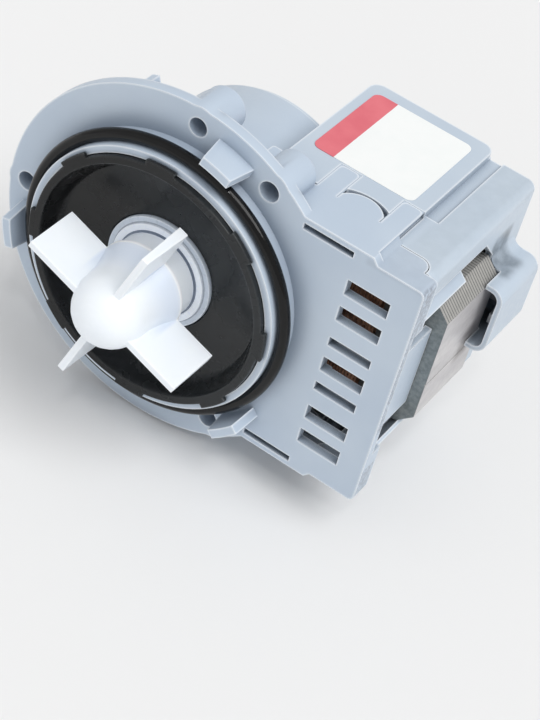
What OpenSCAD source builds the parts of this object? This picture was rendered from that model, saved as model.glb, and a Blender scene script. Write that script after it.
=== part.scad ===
// Washer drain pump with a bayonet flange, a shaded C-core motor and a free-turning impeller.
// Millimetres. The pump axis is Y, the flange's front face is y = 0 and the impeller points to -Y.
// +Z is the label side and +X is the side of the vent plate, the coils and the terminals.

/* [Flange] */
// Outer diameter of the round flange
flange_d = 92; // [90:0.5:100]
// Thickness of the flange
flange_t = 3; // [2.5:0.1:4]
// Pitch circle diameter of the mounting holes
hole_pcd = 82; // [80:0.5:83]
// Diameter of the blind mounting holes
hole_d = 5.1; // [3:0.1:6]
// Diameter of the blind spare hole
spare_d = 4.7; // [3:0.1:4.8]
// Outer diameter of the bosses behind the holes
boss_d = 10.7; // [9:0.1:11]
// Distance that the bosses stand behind the latch deck
boss_proud = 0.3; // [0.1:0.1:2]
// Radius of the bosses' rounded ends
boss_r = 1.2; // [0.6:0.1:2]
// Material left at the bottom of the blind holes
boss_floor = 2.8; // [1.5:0.1:4]
// Width of the stiffening rib behind the flange
rib_t = 2; // [1.5:0.1:3]
// Depth of the stiffening rib
rib_depth = 3.8; // [2:0.1:6]
// Angle of the stiffening rib
rib_angle = 111.5; // [106:0.5:120]

/* [Collar and bayonet] */
// Wall of the collar
collar_wall = 1.8; // [1.6:0.1:2.4]
// Height of the collar in front of the flange
collar_len = 7.4; // [6.8:0.1:8.4]
// Cord diameter of the O-ring
o_ring_cord = 3; // [2.5:0.1:3.2]
// Height of the step that the O-ring rests on
seat_h = 3; // [2.4:0.1:3.4]
// Width of the step that the O-ring rests on
seat_w = 1.35; // [1:0.05:1.8]
// Outer diameter across the bayonet tabs
tab_d = 83.6; // [82:0.2:86]
// Radial thickness of a bayonet tab
tab_t = 2.4; // [1.8:0.1:3]
// Gap between the O-ring and the tabs
tab_gap = 2.27; // [1.5:0.01:3]
// Width of a tab where it leaves the flange
tab_w = 10.3; // [9:0.1:12]
// Width of a tab at its tip
tab_tip_w = 8; // [6:0.1:9]
// Length of a tab in front of the flange
tab_len = 8; // [6:0.2:10]

/* [Vent plate] */
// Distance from the core's outer face in to the plate's outer edge
plate_in = 2; // [1.5:0.1:3]
// Thickness of the plate
plate_t = 2.6; // [2:0.1:3]
// Drop of the plate's stepped edges from the case's top and bottom
plate_drop = 1.6; // [1:0.1:2.4]
// Depth of the side walls behind the plate's outer edge
side_depth = 6.2; // [5:0.1:8]
// Depth of the plate's top and bottom panels
panel_depth = 10.2; // [9:0.1:11]
// Width of the slanted step in the plate's top and bottom edges
plate_jog = 1.4; // [1:0.1:2]
// Radius of the plate's outer corners
plate_r = 1.5; // [0.8:0.1:2]
// Corner radius of the panels' rear edges
lobe_r = 3; // [2:0.1:3.6]
// Distance from the plate's outer edge to the panels' deeper part
lobe_step = 3.8; // [3:0.1:5]
// Length of a vent slot
slot_len = 11.1; // [8:0.1:13]
// Distance from the plate's outer edge in to the middle of the vent slots
slot_in = 12.2; // [11:0.1:13.5]
// Height of a tall vent slot
slot_tall = 4.3; // [3:0.1:5]
// Height of a low vent slot
slot_low = 2.5; // [1.5:0.1:3]
// Bar between the middle slot and the low slots
bar_inner = 3.6; // [3:0.1:4.2]
// Bar between the low slots and the next tall slots
bar_middle = 5.2; // [4:0.1:6]
// Bar between the two outer tall slots
bar_outer = 3.5; // [2.5:0.1:4.2]
// Length of the thin slot beside the latch
thin_slot_len = 13.1; // [10:0.1:14]
// Height of the thin slot
thin_slot_h = 1.6; // [1:0.1:2]

/* [Case] */
// Height of the case over its label platforms
case_h = 69.2; // [68.4:0.2:72]
// Wall of the housing and of the cover
wall = 1.8; // [1.4:0.1:2.2]
// Gap between the core's poles and the round wall behind the flange
barrel_gap = 2.72; // [1:0.02:4]
// Distance from the axis to the cover's inner side face
cover_x = 14.6; // [14:0.1:16]
// Distance from the core's outer face in to the cover's outer side face
cover_in = 3; // [2.5:0.1:3.5]
// Distance from the coils to the cover's rear face
rear_room = 7.84; // [7:0.02:9]
// Distance from the axis to the edge of the label platform
platform_x = 48.4; // [47.5:0.1:49.5]
// Height of the label platform over the rest of the cover
platform_h = 1.6; // [1:0.1:2]
// Overhang of the label platform behind the cover
platform_lip = 1.4; // [1:0.1:2]
// Corner radius of the label platform
platform_r = 3; // [1:0.1:4]
// Width of the channel beside the platform
channel_w = 3.4; // [2:0.1:5]
// Depth of the channel beside the platform
channel_h = 0.7; // [0.4:0.1:1.2]
// Distance from the latch arms' ends to the channel
channel_from = 1.2; // [0.5:0.1:2]
// Radius of the cover's long outer edges
edge_r = 2.4; // [2.2:0.1:3]
// Chamfer of the cover's lower outer edge
under_chamfer = 10; // [8:0.1:11]
// Height of the cover's side wall over the exposed core
skirt_h = 8.6; // [7:0.1:9]

/* [Latch] */
// Distance from the axis to the middle of the latch tongue
latch_x = 37.15; // [36.5:0.05:37.5]
// Width of the window between the latch arms
window_w = 11.7; // [10:0.1:12.2]
// Width of a latch arm
arm_w = 5.2; // [4:0.1:5.5]
// Distance from the flange's front face to the ends of the arms
arm_reach = 22.2; // [20:0.1:22.4]
// Distance from the flange's front face to the tip of the tongue
tongue_reach = 16.7; // [15:0.1:18]
// Depth of the housing's top deck in front of the arms
deck_depth = 11.5; // [9:0.1:12.5]
// Radius of the tongue's rounded tip
tongue_r = 6.4; // [6.2:0.1:8]
// Gap around the tongue
latch_gap = 0.6; // [0.4:0.1:1]
// Radius of the cover's edge behind the tongue
recess_r = 10.8; // [9:0.1:13]
// Thickness of the deck, the arms and the tongue
deck_t = 1.5; // [1.2:0.1:1.8]
// Corner radius of the arms' ends
arm_r = 1.4; // [0.8:0.1:1.9]
// Width of the locating finger beside the cover
finger_w = 3; // [2:0.1:4]
// Distance from the flange's front face to the finger's end
finger_reach = 15.9; // [13:0.1:18]
// Corner radius of the finger's end
finger_r = 0.8; // [0.5:0.1:1]

/* [Terminal shroud] */
// Distance that the shroud stands out from the cover's side face
shroud_out = 8.3; // [7.5:0.1:11]
// Distance from the flange's front face to the shroud's mouth
shroud_y = 34; // [32:0.5:38]
// Distance from the cover's rear face in to the shroud's rear
shroud_in = 2.2; // [1.5:0.1:3]
// Height of the shroud
shroud_h = 19.4; // [18:0.2:24]
// Height of the shroud's middle over the axis
shroud_z = 6.5; // [5:0.1:8]
// Wall of the shroud
shroud_wall = 1.3; // [1:0.1:2]
// Outer corner radius of the shroud
shroud_r = 3.6; // [3:0.1:4.4]
// Width of a terminal blade
blade_w = 2.8; // [2:0.1:4]
// Thickness of a terminal blade
blade_t = 0.8; // [0.5:0.1:1]
// Distance between the two terminal blades
blade_pitch = 9; // [8:0.1:10]
// Length of a terminal blade inside the shroud
blade_len = 9; // [6:0.5:10]

/* [Rotor can] */
// Height of the dish rim over the collar
dish_lip = 1.4; // [1:0.1:2]
// Width of the dish rim
dish_rim = 2; // [1.6:0.1:2.6]
// Slope of the dish wall inside the rim
dish_slope = 1.6; // [0.5:0.1:2]
// Height of the foot of the dish wall
wall_foot = 4.3; // [3.5:0.1:5]
// Width of the cove between the dish wall and the floor
cove_w = 1.3; // [0.8:0.1:2]
// Thickness of the dish floor at the cove
dish_floor = 2.8; // [2.4:0.1:3]
// Thickness of the dish floor at the middle
dish_mid = 2.4; // [2:0.1:2.8]
// Ears of the dish rim over the collar
ear_count = 8; // [6:1:10]
// Distance that the ears stand out from the rim
ear_out = 1.2; // [0.8:0.1:1.6]
// Angle taken by each ear
ear_angle = 14; // [10:1:18]
// Angle of the first ear
ear_turn = 4; // [0:0.5:20]
// Outer diameter of the can's tube
can_d = 26.4; // [26:0.1:26.6]
// Wall of the can's tube
can_wall = 1; // [0.7:0.05:1.1]

/* [Core and coils] */
// Distance from the flange's front face to the front of the core
core_y = 16.4; // [15.5:0.1:17]
// Sheets in the core
sheet_count = 26; // [20:1:30]
// Distance from one sheet to the next
sheet_pitch = 0.93; // [0.8:0.002:0.96]
// Varnish gap between sheets
sheet_gap = 0.12; // [0.05:0.01:0.25]
// Distance from the axis to the core's outer face
core_x = 64; // [63:0.1:64.6]
// Width of the yoke that joins the two legs
yoke_w = 12; // [11:0.1:12.2]
// Height of the core over both legs
core_h = 37.7; // [36:0.1:40]
// Height of one leg
leg_h = 11; // [10:0.1:12]
// Height of the seam in the yoke's outer face, below the axis
seam_drop = 4.4; // [3:0.1:6]
// Depth of the seam
seam = 0.25; // [0.1:0.05:0.4]
// Corner chamfer of the yoke
yoke_chamfer = 3.85; // [3:0.05:5]
// Length of the poles beyond the axis
pole_reach = 14; // [10:0.2:15]
// Gap between the can's tube and the core's bore
bore_gap = 0.4; // [0.2:0.05:0.8]
// Distance from the cover's inner side face to the bobbins
coil_from = 4.2; // [3.8:0.1:8]
// Wall of a bobbin
bobbin_wall = 0.9; // [0.6:0.05:1.1]
// Thickness of a bobbin flange
bobbin_flange = 1.2; // [0.8:0.1:1.6]
// Gap between the two bobbins
coil_gap = 3.1; // [2:0.1:5]
// Loops in the outer layer of a coil
loop_count = 23; // [12:1:23]
// Diameter of the winding wire
wire_d = 0.82; // [0.6:0.01:0.84]

/* [Rotor] */
// Diameter of the shaft
shaft_d = 5; // [4:0.1:5.6]
// Gap between the rotor magnet and the can's tube
magnet_gap = 0.6; // [0.4:0.05:1]
// Wall of the rotor magnet
magnet_wall = 3.6; // [2.5:0.1:5]
// Outer diameter of the bearing bushes
bush_d = 10; // [9:0.1:12]
// Length of the front bush
front_bush_len = 8; // [6:0.1:8.6]
// Length of the rear bush
rear_bush_len = 5.6; // [4:0.1:6]
// Thickness of the thrust washers
washer_t = 1; // [0.6:0.05:1.2]
// Thickness of the shaft seal
seal_t = 2.2; // [1.5:0.1:2.8]
// Diameter of the bearing cap
cap_d = 28.8; // [28:0.1:30]
// Diameter of the raised ring on the bearing cap
cap_ring_d = 25.6; // [24.4:0.1:26.4]
// Width of the raised ring
cap_ring_w = 1.7; // [1:0.1:2]
// Front of the bearing cap before the flange's front face
cap_front = 3; // [2.8:0.05:3.2]

/* [Impeller] */
// Diameter across the impeller blades
impeller_d = 46.2; // [40:0.2:50]
// Front of the blades before the flange's front face
blade_front = 25; // [22:0.2:27]
// Rear of the blades before the flange's front face
blade_rear = 10; // [9:0.1:12]
// Thickness of a blade at its rear edge
vane_rear_t = 2.6; // [1.8:0.1:3]
// Thickness of a blade at its front edge
vane_front_t = 1.8; // [1:0.1:2.4]
// Angle of the first blade
vane_angle = 70.5; // [0:0.5:90]
// Radius of the round nose
nose_r = 9.3; // [8.6:0.1:10]
// Middle of the round nose before the flange's front face
nose_y = 20.8; // [19:0.1:22]
// Distance that the hub's rim stands out from its skirt
rim_out = 1; // [0.5:0.1:2]
// Width of the rim's edge
rim_edge = 0.6; // [0.4:0.1:1]
// Diameter of the skirt behind the rim
skirt_d = 21.4; // [20.6:0.1:22]
// Wall of the skirt
skirt_wall = 1.4; // [1:0.1:1.6]
// Running gap between the skirt and the bearing cap
skirt_gap = 0.9; // [0.5:0.1:1.4]
// Half angle of the drive lugs
lug_half = 22; // [15:1:30]
// Angle taken by each rubber stop
stop_angle = 5; // [3:0.5:8]
// Length of the drive dog
dog_len = 6.5; // [5:0.1:7]
// Wall of the drive dog round the shaft
dog_wall = 2.8; // [2:0.1:3.4]
// Length of the shaft in the impeller's nose
shaft_nose = 6.5; // [5:0.1:8]

/* [Label] */
// Length of the label across the case
label_x = 27.2; // [20:0.1:29]
// Length of the label along the pump axis
label_y = 29.2; // [20:0.1:31]
// Distance from the axis to the label's inner edge
label_from = 17.3; // [16:0.1:18.5]
// Thickness of the label
label_t = 0.15; // [0.1:0.05:0.3]
// Corner radius of the label
label_r = 2; // [1:0.1:4]
// Distance from the latch arms to the label
label_gap = 0.7; // [0.4:0.1:1.5]

/* [Clearances] */
// Radial running clearance of the shaft
run_clear = 0.05; // [0.02:0.01:0.09]
// Clearance between pieces that are pushed together
fit_clear = 0.03; // [0.01:0.01:0.06]
// Clearance between moulded pieces
mould_clear = 0.2; // [0.1:0.05:0.3]
// Clearance around moving pieces
move_clear = 0.4; // [0.3:0.05:0.6]

/* [Hidden] */
$fn = 96;
eps = 0.01;
flange_r = flange_d / 2;
hole_r = hole_pcd / 2;
boss_reach = deck_depth + boss_proud;
hole_angles = [60, 180, 300];
spare_angle = 90;
boss_angles = concat(hole_angles, [spare_angle]);
tab_angles = [75, 195, 315];
rib_in = 0.5;
tab_r = tab_d / 2;
collar_r = tab_r - tab_t - tab_gap - o_ring_cord - fit_clear;
case_z = case_h / 2;
plate_z = case_z - plate_drop;
cover_z = case_z - platform_h;
dish_r = collar_r - collar_wall - mould_clear;
dish_h = collar_len + dish_lip;
can_r = can_d / 2;
can_in = can_r - can_wall;

// Side faces, all placed from the core's outer face
plate_x = core_x - plate_in;
cover_right = core_x - cover_in;
shroud_x = cover_right + shroud_out;
slot_x = plate_x - slot_in;

// Latch outline
window_left = latch_x - window_w / 2;
window_right = latch_x + window_w / 2;
finger_x = cover_x - mould_clear - finger_w;
tongue_half = window_w / 2 - latch_gap / 2;
tongue_y = tongue_reach - tongue_r;

// Slot rows over the axis: height of the middle, height of the slot
slot_a = slot_tall / 2 + bar_inner + slot_low / 2;
slot_b = slot_a + slot_low / 2 + bar_middle + slot_tall / 2;
slot_c = slot_b + slot_tall + bar_outer;
slot_rows = [[0, slot_tall], [slot_a, slot_low], [slot_b, slot_tall], [slot_c, slot_tall]];

label_front = arm_reach + label_gap;

// Core and coils
core_len = sheet_count * sheet_pitch - sheet_gap;
core_rear = core_y + core_len;
core_mid = (core_y + core_rear) / 2;
core_z = core_h / 2;
leg_in = core_z - leg_h;
leg_mid = core_z - leg_h / 2;
yoke_in = core_x - yoke_w;
seam_z = -seam_drop;
bore_r = can_r + bore_gap;
barrel_r = norm([pole_reach, core_z]) + barrel_gap + wall;
barrel_over = 0.4;
barrel_end = core_rear + barrel_over;
coil_right = yoke_in - mould_clear - bobbin_flange;
coil_left = cover_x + coil_from + bobbin_flange;
coil_len = coil_right - coil_left;
tube_z = leg_h / 2 + mould_clear;
tube_y = core_len / 2 + mould_clear;
wire_r = wire_d / 2;
flange_over = 0.3;
flange_out = wire_r + flange_over;
coil_build = leg_mid - coil_gap / 2 - flange_out - wire_r - fit_clear - bobbin_wall - tube_z;
pack_z = tube_z + bobbin_wall + coil_build;
pack_y = tube_y + bobbin_wall + coil_build;
bend_over = 0.5;
pack_ease = 1.3;
wire_bend = coil_build + bend_over;
pack_r = wire_bend + pack_ease;
wire_z = pack_z + fit_clear + wire_r;
wire_y = pack_y + fit_clear + wire_r;
wire_corner = wire_bend + fit_clear + wire_r;
wire_step = (coil_len - 2 * wire_d) / loop_count;
flange_rear = core_mid + wire_y + flange_out;
cover_rear = flange_rear + rear_room;

// Terminals
shroud_rear = cover_rear - shroud_in;
strip_back = 1;
strip_rear = shroud_rear - shroud_wall - strip_back;
upper_blade_z = shroud_z + blade_pitch / 2;
lower_blade_z = shroud_z - blade_pitch / 2;

// Arms of the housing along the core's upper and lower chamfers
chamfer_sum = core_x + core_z - yoke_chamfer;
guide_t = 1;
guide_len = 3.5;
guide_in = 1.4;
guide_x = plate_x - guide_in;
guide_z = chamfer_sum - guide_x + mould_clear;
guide_reach = 11;
guide_end = core_y + guide_reach;
post_half = 11.7;
post_in = 1;
post_x = plate_x - post_in;

// Shaft line, from front to rear
shaft_r = shaft_d / 2;
shaft_edge = 0.4;
cap_r = cap_d / 2;
cap_ring_r = cap_ring_d / 2;
cap_gap = 0.3;
cap_back = 1.8;
cap_web = 0.6;
cap_ring_h = 0.6;
shaft_gap = 0.7;
bush_r = bush_d / 2;
cap_wall = 3;
cap_bore = can_in - fit_clear - cap_wall;
seal_rear = seal_t - cap_web;
front_bush_end = seal_rear + front_bush_len;
front_washer_y = front_bush_end + move_clear;
magnet_r = can_in - magnet_gap;
magnet_in = magnet_r - magnet_wall;
hub_flange = 1.3;
hub_edge = 0.4;
hub_r = magnet_r - hub_edge;
hub_front = core_y - hub_flange;
hub_rear = core_rear + hub_flange;
washer_gap = 1;
washer_over = 1;
rear_washer_y = hub_rear + washer_gap;
rear_bush_y = rear_washer_y + washer_t + move_clear;
rear_bush_end = rear_bush_y + rear_bush_len;
step_t = 1;
can_step = rear_bush_y - step_t;
mount_wall = 4;
pocket_r = bush_r + mount_wall;
can_end = rear_bush_end + mould_clear;
shaft_in = 0.6;
shaft_rear = rear_bush_end - shaft_in;

// Impeller hub, in distances before the flange's front face
skirt_r = skirt_d / 2;
cavity_r = skirt_r - skirt_wall;
skirt_end = cap_front + skirt_gap;
hub_cover_t = 1.4;
hub_cover_in = 1;
hub_cover_front = skirt_end + hub_cover_in + hub_cover_t;
dog_rear = hub_cover_front + move_clear;
dog_front = dog_rear + dog_len;
cavity_front = dog_front + move_clear;
shaft_front = cavity_front + shaft_nose;
rim_r = skirt_r + rim_out;
rim_front = blade_rear + rim_edge / 2;
rim_rear = blade_rear - rim_edge / 2;
rim_slope = 0.8;
dog_ring = shaft_r + dog_wall;
dog_lug = cavity_r - move_clear;

// Shared shapes

// A body of revolution about the pump axis, from points of radius and y
module turned(points) rotate([-90, 0, 0]) rotate_extrude() polygon(points);

// A plain ring about the pump axis
module ring(inner, outer, y0, y1) {
    turned([[inner, y0], [outer, y0], [outer, y1], [inner, y1]]);
}

// A sector of a ring, centred on an angle from +X towards +Z
module sector(inner, outer, y0, y1, angle, half) {
    reach = 2 * outer;
    intersection() {
        ring(inner, outer, y0, y1);
        rotate([0, -angle, 0]) prism(y0 - 1, y1 + 1)
            polygon([[0, 0], reach * [cos(half), -sin(half)], reach * [cos(half), sin(half)]]);
    }
}

// An outline in x and z carried along y
module prism(y0, y1) translate([0, y1, 0]) rotate([90, 0, 0]) linear_extrude(y1 - y0) children();

// An outline in x and y carried along z
module slab(z0, z1) translate([0, 0, z0]) linear_extrude(z1 - z0) children();

// An outline in y and z carried along x
module bar(x0, x1) translate([x0, 0, 0]) rotate([90, 0, 90]) linear_extrude(x1 - x0) children();

module box(low, high) translate(low) cube(high - low);

module rounded(low, high, r) {
    translate([low.x + r, low.y]) square([high.x - low.x - 2 * r, high.y - low.y]);
    translate([low.x, low.y + r]) square([high.x - low.x, high.y - low.y - 2 * r]);
    for (x = [low.x + r, high.x - r], y = [low.y + r, high.y - r])
        translate([x, y]) circle(r);
}

module at_angle(angle, radius) rotate([0, -angle, 0]) translate([radius, 0, 0]) children();

module both_sides() {
    children();
    mirror([0, 0, 1]) children();
}

// Front housing

module plate_outline() {
    step = platform_x + plate_jog;
    polygon([[0, -case_z], [platform_x, -case_z], [step, -plate_z], [step, plate_z], [platform_x, case_z],
        [0, case_z]]);
    rounded([0, -plate_z], [plate_x, plate_z], plate_r);
}

module bayonet_tab() {
    intersection() {
        ring(tab_r - tab_t, tab_r, -tab_len, flange_t / 2);
        bar(tab_r - 2 * tab_t, tab_r + tab_t)
            polygon([[-tab_len, tab_tip_w / 2], [0, tab_w / 2], [flange_t, tab_w / 2],
                [flange_t, -tab_w / 2], [0, -tab_w / 2], [-tab_len, -tab_tip_w / 2]]);
    }
}

// Round boss with a rounded end
module boss() {
    outer = boss_d / 2;
    rotate([-90, 0, 0]) rotate_extrude() {
        square([outer, boss_reach - boss_r]);
        square([outer - boss_r, boss_reach]);
        translate([outer - boss_r, boss_reach - boss_r]) circle(boss_r);
    }
}

module latch_tongue() {
    intersection() {
        translate([latch_x - tongue_half, 0]) square([2 * tongue_half, tongue_reach]);
        translate([latch_x, tongue_y]) circle(tongue_r);
    }
}

// Top deck with the two arms and the round-ended tongue between them
module latch_deck() {
    slab(case_z - deck_t, case_z) {
        translate([finger_x, 0]) square([window_right + arm_w - finger_x, deck_depth]);
        rounded([finger_x, 0], [finger_x + finger_w, finger_reach], finger_r);
        rounded([window_left - arm_w, 0], [window_left, arm_reach], arm_r);
        rounded([window_right, 0], [window_right + arm_w, arm_reach], arm_r);
        latch_tongue();
    }
}

// Top panel behind the outer part of the plate, with a stepped rounded rear edge
module vent_panel() {
    inner = platform_x - 2;
    intersection() {
        slab(plate_z - wall, plate_z) {
            rounded([inner, -lobe_r], [plate_x - lobe_step, panel_depth], lobe_r);
            rounded([inner, -lobe_r], [plate_x, side_depth], lobe_r / 2);
        }
        prism(0, panel_depth) plate_outline();
    }
}

// Outer wall behind the plate, down to the arm along the core
module side_wall() {
    prism(0, side_depth) intersection() {
        plate_outline();
        translate([plate_x - wall, guide_z]) square([wall, plate_z - guide_z]);
    }
}

// Arm along the core's chamfer
module guide_arm() {
    foot = [guide_x, guide_z];
    out = [guide_t, guide_t] * sqrt(0.5);
    up = [-guide_len, guide_len] * sqrt(0.5);
    prism(flange_t / 2, guide_end) polygon([foot, foot + out, foot + out + up, foot + up]);
}

module vent_cuts() {
    for (row = slot_rows)
        both_sides() box([slot_x - slot_len / 2, -1, row[0] - row[1] / 2],
            [slot_x + slot_len / 2, plate_t + 1, row[0] + row[1] / 2]);
    both_sides() box([latch_x - thin_slot_len / 2, -1, case_z - deck_t - thin_slot_h],
        [latch_x + thin_slot_len / 2, flange_t + 1, case_z - deck_t]);
}

module front_housing() color("lightsteelblue") {
    difference() {
        union() {
            ring(0, flange_r, 0, flange_t);
            prism(0, plate_t) plate_outline();
            ring(collar_r - collar_wall, collar_r, -collar_len, flange_t);
            ring(collar_r - collar_wall, collar_r + seat_w, -seat_h, flange_t);
            difference() {
                ring(barrel_r - wall, barrel_r, flange_t / 2, barrel_end);
                box([cover_x - mould_clear, flange_t, -barrel_r], [barrel_r + 1, barrel_end + 1, barrel_r]);
            }
            for (angle = boss_angles)
                at_angle(angle, hole_r) boss();
            for (angle = tab_angles)
                rotate([0, -angle, 0]) bayonet_tab();
            rotate([0, -rib_angle, 0])
                box([barrel_r - wall, flange_t / 2, -rib_t / 2],
                    [flange_r - rib_in, flange_t + rib_depth, rib_t / 2]);
            box([post_x - wall, plate_t / 2, -post_half], [post_x, core_y - mould_clear, post_half]);
            both_sides() {
                latch_deck();
                vent_panel();
                side_wall();
                guide_arm();
            }
        }
        ring(0, can_r + mould_clear, -seat_h - 1, flange_t + 1);
        for (angle = hole_angles)
            at_angle(angle, hole_r) ring(0, hole_d / 2, -1, boss_reach - boss_floor);
        at_angle(spare_angle, hole_r) ring(0, spare_d / 2, -1, boss_reach - boss_floor);
        vent_cuts();
    }
}

// Rear cover

module cover_outline(inset) {
    low = [cover_x + inset, -cover_z + inset];
    high = [cover_right - inset, cover_z - inset];
    r = edge_r - inset;
    chamfer = cover_right + cover_z - under_chamfer - inset * sqrt(2);
    difference() {
        intersection() {
            rounded(low - [2 * r, 0], high, r);
            translate(low) square(high - low);
        }
        polygon([[chamfer, 0], [chamfer - case_h, -case_h], [chamfer, -case_h]]);
    }
}

// Where the front housing's deck, arms and tongue fit between the cover's top pieces
module latch_recess() {
    arm_right = window_right + arm_w + mould_clear;
    slab(case_z - 2 * wall, case_z + 1) {
        square([arm_right, deck_depth + mould_clear]);
        for (x = [window_left - arm_w, window_right])
            translate([x - mould_clear, 0])
                square([arm_w + 2 * mould_clear, arm_reach + mould_clear]);
        intersection() {
            translate([window_left, 0]) square([window_w, tongue_reach + latch_gap]);
            translate([latch_x, tongue_reach + latch_gap - recess_r]) circle(recess_r);
        }
    }
}

module cover_body(inset, y0, y1) {
    prism(y0, y1) cover_outline(inset);
}

// Window for the exposed core, with slanted rear corners
module core_window() {
    rear = core_rear + mould_clear;
    low = core_z + 2 * mould_clear;
    high = case_z - skirt_h;
    polygon([[0, -high], [rear - high + low, -high], [rear, -low],
        [rear, low], [rear - high + low, high], [0, high]]);
}

module cover_shell() {
    front = side_depth + mould_clear;
    panel_right = plate_x - lobe_step + mould_clear;
    difference() {
        union() {
            cover_body(0, front, cover_rear);
            both_sides() slab(cover_z - wall, case_z)
                rounded([cover_x, front], [platform_x, cover_rear + platform_lip], platform_r);
        }
        cover_body(wall, front - 1, cover_rear - wall);
        both_sides() {
            latch_recess();
            slab(cover_z - skirt_h, case_z)
                rounded([0, 0], [panel_right, panel_depth + mould_clear], lobe_r + mould_clear);
            box([platform_x, arm_reach + channel_from, cover_z - channel_h],
                [platform_x + channel_w, cover_rear + 1, case_z]);
        }
        bar(core_x - 2 * yoke_w, core_x + 1) core_window();
        ring(0, barrel_r + mould_clear, 0, barrel_end + mould_clear);
        box([0, 0, -barrel_r], [cover_x + 2 * wall, barrel_end + mould_clear, barrel_r]);
        for (angle = boss_angles)
            at_angle(angle, hole_r) ring(0, boss_d / 2 + mould_clear, 0, boss_reach + mould_clear);
    }
}

// Round back over the core's poles, with the cup that holds the can's end
module cover_back() {
    back = barrel_end + mould_clear;
    cup_in = pocket_r + can_wall + mould_clear;
    back_over = 0.6;
    difference() {
        union() {
            ring(0, barrel_r - wall + back_over, back, back + wall);
            ring(0, can_r + mould_clear + wall, back, can_step + step_t + wall);
            ring(0, cup_in + wall, back, can_end + can_wall + mould_clear + wall);
        }
        box([cover_x + wall, 0, -barrel_r], [barrel_r + 1, cover_rear, barrel_r]);
        ring(0, can_r + mould_clear, 0, can_step + step_t + mould_clear);
        ring(0, cup_in, 0, can_end + can_wall + mould_clear);
    }
}

module shroud_block(inset, y0, y1) {
    prism(y0, y1) intersection() {
        rounded([cover_right - shroud_r - wall + inset, shroud_z - shroud_h / 2 + inset],
            [shroud_x - inset, shroud_z + shroud_h / 2 - inset], shroud_r - inset);
        translate([cover_right - wall, -case_z]) square([shroud_x, case_h]);
    }
}

module terminal_slots() {
    for (side = [-1, 1])
        translate([0, 0, shroud_z + side * blade_pitch / 2])
            box([cover_right - 2 * wall, strip_rear - blade_t - mould_clear, -blade_w / 2 - mould_clear],
                [cover_right + 1, strip_rear + mould_clear, blade_w / 2 + mould_clear]);
}

module rear_cover() color("lightslategray") {
    difference() {
        union() {
            cover_shell();
            cover_back();
            shroud_block(0, shroud_y, shroud_rear);
        }
        difference() {
            shroud_block(shroud_wall, shroud_y - 1, shroud_rear - shroud_wall);
            box([0, core_rear + mould_clear, -case_z], [cover_right, cover_rear + 1, case_z]);
        }
        box([yoke_in, shroud_y - 1, -core_z], [core_x + mould_clear, core_rear + mould_clear, core_z]);
        terminal_slots();
    }
}

// Rotor can, seals and bearings

module rotor_can() color([0.1, 0.1, 0.11]) {
    shoulder = can_step + step_t;
    rim_in = dish_r - dish_rim;
    foot = rim_in - dish_slope;
    turned([[can_in, 0], [dish_r, 0], [dish_r, -dish_h], [rim_in, -dish_h],
        [foot, -wall_foot], [foot - cove_w, -dish_floor], [cap_r + cap_gap, -dish_mid],
        [cap_r + cap_gap, -cap_back], [can_in, -cap_back]]);
    for (i = [0 : ear_count - 1])
        sector(rim_in + dish_rim / 2, dish_r + ear_out, -dish_h, -collar_len - mould_clear,
            ear_turn + 360 * i / ear_count, ear_angle / 2);
    ring(can_in, can_r, -eps, shoulder);
    ring(pocket_r + fit_clear, can_r, can_step, shoulder);
    ring(pocket_r + fit_clear, pocket_r + can_wall, can_step, can_end + can_wall);
    ring(0, pocket_r + can_wall, can_end, can_end + can_wall);
}

module o_ring() color([0.06, 0.06, 0.07]) {
    middle = collar_r + fit_clear + o_ring_cord / 2;
    rotate([-90, 0, 0]) rotate_extrude()
        translate([middle, -seat_h - fit_clear - o_ring_cord / 2]) circle(d = o_ring_cord, $fn = 48);
}

module bearing_cap() color("lavender") {
    hole = shaft_r + shaft_gap;
    ring_in = cap_ring_r - cap_ring_w;
    ring_front = -cap_front - cap_ring_h;
    sleeve = can_in - fit_clear;
    turned([[hole, -cap_front], [ring_in, -cap_front], [ring_in, ring_front], [cap_ring_r, ring_front],
        [cap_ring_r, -cap_front], [cap_r, -cap_front], [cap_r, -cap_back], [sleeve, -cap_back],
        [sleeve, front_washer_y], [cap_bore, front_washer_y], [cap_bore, -cap_web], [hole, -cap_web]]);
}

module shaft_seal() color([0.12, 0.12, 0.13])
    ring(shaft_r + run_clear, cap_bore - fit_clear, -cap_web, seal_rear);

module front_bush() color("dimgray")
    ring(shaft_r + run_clear, bush_r, seal_rear, front_bush_end);

module front_bush_mount() color([0.2, 0.2, 0.21])
    ring(bush_r + fit_clear, cap_bore - fit_clear, seal_rear, front_bush_end);

module rear_bush() color("dimgray")
    ring(shaft_r + run_clear, bush_r, rear_bush_y, rear_bush_end);

module rear_bush_mount() color([0.2, 0.2, 0.21])
    ring(bush_r + fit_clear, pocket_r, rear_bush_y, rear_bush_end);

// Core and coils

module core_outline() {
    difference() {
        polygon([[-pole_reach, -core_z], [core_x - yoke_chamfer, -core_z], [core_x, yoke_chamfer - core_z],
            [core_x, seam_z - seam], [core_x - seam, seam_z], [core_x, seam_z + seam],
            [core_x, core_z - yoke_chamfer], [core_x - yoke_chamfer, core_z], [-pole_reach, core_z],
            [-pole_reach, leg_in], [yoke_in, leg_in], [yoke_in, -leg_in], [-pole_reach, -leg_in]]);
        circle(bore_r);
    }
}

module core_laminations() color("darkgray")
    for (i = [0 : sheet_count - 1])
        prism(core_y + i * sheet_pitch, core_y + (i + 1) * sheet_pitch - sheet_gap) core_outline();

module coil_section(half_y, half_z, r) {
    rounded([core_mid - half_y, leg_mid - half_z], [core_mid + half_y, leg_mid + half_z], r);
}

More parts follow.
